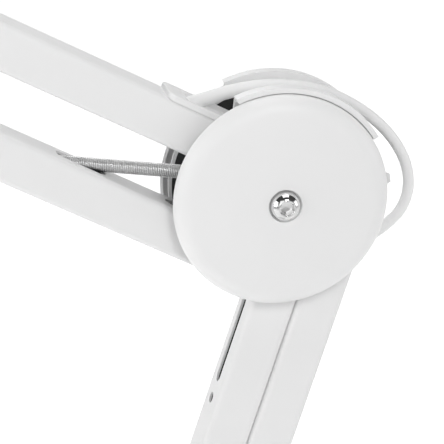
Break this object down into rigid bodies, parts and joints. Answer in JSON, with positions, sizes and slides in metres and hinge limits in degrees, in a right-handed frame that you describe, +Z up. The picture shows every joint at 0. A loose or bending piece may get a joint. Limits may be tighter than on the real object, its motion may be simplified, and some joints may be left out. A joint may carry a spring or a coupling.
{
  "type": "swing arm desk lamp",
  "caption": "Desk lamp on a round base: two arms of paired square tubes pivot between round domed covers and keep a flat round LED head level.",
  "frame": {"origin": "centre of the underside of the base, on the surface the lamp stands on", "axes": "+Z up; the arms fold in the XZ plane and the lamp reaches towards -X; -Y is the side the elbow is seen from"},
  "size_m": [0.6138, 0.25, 0.7427],
  "materials": {
    "white_paint": "satin powder coat",
    "cover_white": "smooth satin paint",
    "zinc_steel": "zinc plated",
    "screw_chrome": "polished",
    "spring_steel": "drawn wire",
    "nylon": "natural nylon",
    "white_plastic": "fine moulded",
    "lead_pvc": "soft white PVC",
    "black_rubber": "matt",
    "black_plastic": "matt",
    "weight_iron": "raw casting",
    "aluminium_plate": "milled",
    "head_aluminium": "white satin paint",
    "board_white": "white solder mask",
    "led_phosphor": "phosphor",
    "opal": "opal acrylic"
  },
  "bodies": {
    "base": {"base_foot": "black_rubber", "base_weight": "weight_iron", "base_cover": "cover_white", "swivel_post": "zinc_steel", "base_screws": "zinc_steel", "power_inlet": "black_plastic", "thrust_washer": "nylon"},
    "turret": {"shoulder_block": "white_paint", "swivel_bush": "nylon", "shoulder_plates": "white_paint", "shoulder_covers": "cover_white", "shoulder_cover_screws": "screw_chrome", "shoulder_spindle": "zinc_steel", "shoulder_pins": "zinc_steel"},
    "lower_right": {"lower_bar_right": "white_paint", "lower_bar_right_bushes": "nylon", "lower_arm_lead": "lead_pvc"},
    "elbow": {"elbow_plate_front": "white_paint", "elbow_plate_back": "white_paint", "elbow_lead_guide": "white_paint", "elbow_spindle": "zinc_steel", "elbow_cover_front": "cover_white", "elbow_cover_back": "cover_white", "elbow_cover_screws": "screw_chrome", "elbow_pivot_pins": "zinc_steel", "elbow_spring_pins": "zinc_steel", "elbow_lead": "lead_pvc", "lead_sleeve": "lead_pvc"},
    "lower_left": {"lower_bar_left": "white_paint", "lower_bar_left_bushes": "nylon", "lower_spring_anchor": "zinc_steel"},
    "lower_spring": {"lower_spring": "spring_steel", "lower_spring_link": "zinc_steel"},
    "upper_spring": {"upper_spring": "spring_steel"},
    "upper_top": {"upper_bar_top": "white_paint", "upper_bar_top_bushes": "nylon", "lead_trough": "white_plastic", "upper_arm_lead": "lead_pvc"},
    "upper_bottom": {"upper_bar_bottom": "white_paint", "upper_bar_bottom_bushes": "nylon", "upper_spring_anchor": "zinc_steel"},
    "head_bracket": {"head_plates": "white_paint", "head_covers": "cover_white", "head_cover_screws": "screw_chrome", "head_spindle": "zinc_steel", "head_pins": "zinc_steel", "head_swivel_block": "white_paint"},
    "knuckle": {"head_knuckle": "white_paint"},
    "lamp_head": {"head_fork": "white_paint", "tilt_pin": "screw_chrome", "head_shell": "head_aluminium", "heat_spreader": "aluminium_plate", "led_board": "board_white", "leds": "led_phosphor", "led_driver": "black_plastic", "diffuser": "opal", "head_bezel": "white_plastic", "switch_body": "black_plastic"},
    "button": {"switch_button": "white_plastic"}
  },
  "joints": [
    {"name": "turret_swivel", "type": "hinge", "parent": "base", "child": "turret", "pos_m": [0, 0, 0.03], "axis": [0, 0, 1], "range_deg": [-170, 170]},
    {"name": "lower_arm_lean", "type": "hinge", "parent": "turret", "child": "lower_right", "pos_m": [-0.00945, 0, 0.1308], "axis": [0, -1, 0], "range_deg": [0, 40], "deforming": ["elbow_lead", "lower_spring"]},
    {"name": "elbow_level", "type": "hinge", "parent": "lower_right", "child": "elbow", "pos_m": [0.11615, 0, 0.51057], "axis": [0, -1, 0], "range_deg": [-40, 0]},
    {"name": "lower_left_lean", "type": "hinge", "parent": "elbow", "child": "lower_left", "pos_m": [0.08788, 0, 0.49335], "axis": [0, -1, 0], "range_deg": [0, 40]},
    {"name": "upper_arm_lift", "type": "hinge", "parent": "elbow", "child": "upper_top", "pos_m": [0.05443, 0, 0.53575], "axis": [0, -1, 0], "range_deg": [-15, 32], "deforming": ["upper_spring", "lead_sleeve", "elbow_lead"]},
    {"name": "upper_bottom_lift", "type": "hinge", "parent": "elbow", "child": "upper_bottom", "pos_m": [0.05673, 0, 0.48275], "axis": [0, -1, 0], "range_deg": [-15, 32]},
    {"name": "head_level", "type": "hinge", "parent": "upper_top", "child": "head_bracket", "pos_m": [-0.29954, 0, 0.72206], "axis": [0, -1, 0], "range_deg": [-32, 15]},
    {"name": "upper_spring_turn", "type": "hinge", "parent": "elbow", "child": "upper_spring", "pos_m": [0.05853, 0, 0.5197], "axis": [0, -1, 0], "range_deg": [-14.78, 31.52]},
    {"name": "lower_spring_turn", "type": "hinge", "parent": "elbow", "child": "lower_spring", "pos_m": [0.07323, 0, 0.49965], "axis": [0, -1, 0], "range_deg": [0, 38.6]},
    {"name": "head_turn", "type": "hinge", "parent": "head_bracket", "child": "knuckle", "pos_m": [-0.33124, 0, 0.63566], "axis": [0, 0, 1], "range_deg": [-90, 90]},
    {"name": "head_tilt", "type": "hinge", "parent": "knuckle", "child": "lamp_head", "pos_m": [-0.33124, 0, 0.62066], "axis": [0, -1, 0], "range_deg": [-40, 50]},
    {"name": "switch_press", "type": "slide", "parent": "lamp_head", "child": "button", "axis": [0, 0, -1], "range_m": [0, 0.0015], "stiffness_N_per_m": 300}
  ],
  "couplings": [
    {"joint": "elbow_level", "follows": "lower_arm_lean", "ratio": -1},
    {"joint": "lower_left_lean", "follows": "lower_arm_lean", "ratio": 1},
    {"joint": "upper_bottom_lift", "follows": "upper_arm_lift", "ratio": 1},
    {"joint": "upper_spring_turn", "follows": "upper_arm_lift", "ratio": 0.985},
    {"joint": "lower_spring_turn", "follows": "lower_arm_lean", "ratio": 0.965},
    {"joint": "head_level", "follows": "upper_arm_lift", "ratio": -1}
  ]
}
